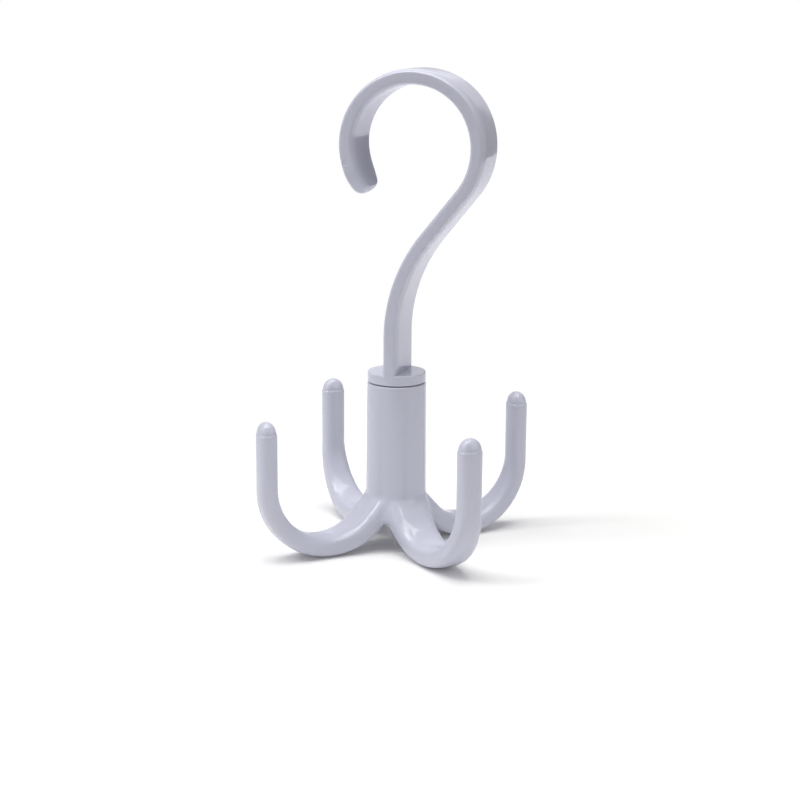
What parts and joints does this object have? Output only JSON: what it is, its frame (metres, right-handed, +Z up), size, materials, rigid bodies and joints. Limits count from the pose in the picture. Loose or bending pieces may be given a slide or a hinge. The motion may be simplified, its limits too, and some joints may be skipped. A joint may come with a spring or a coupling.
{
  "type": "tie hanger",
  "caption": "Swivelling tie and scarf hanger: a flat question-mark rod hook that turns on a tube with upturned claws, in moulded plastic.",
  "frame": {"origin": "on the swivel axis, level with the undersides of the claws that it stands on", "axes": "+Z up along the swivel axis; +X and +Y each run out along a claw; at rest the plane of the hook stands at -45 degrees from +X about +Z, midway between two claws, with the crown towards +X and -Y"},
  "size_m": [0.1024, 0.1024, 0.1599],
  "materials": {
    "glossy_polypropylene": "glossy moulded polypropylene, pale lavender grey"
  },
  "bodies": {
    "claws": {"claw_body": "glossy_polypropylene"},
    "hook": {"swivel_hook": "glossy_polypropylene"}
  },
  "joints": [
    {"name": "swivel", "type": "hinge", "parent": "claws", "child": "hook", "pos_m": [0, 0, 0.0565], "axis": [0, 0, 1], "continuous": true}
  ]
}
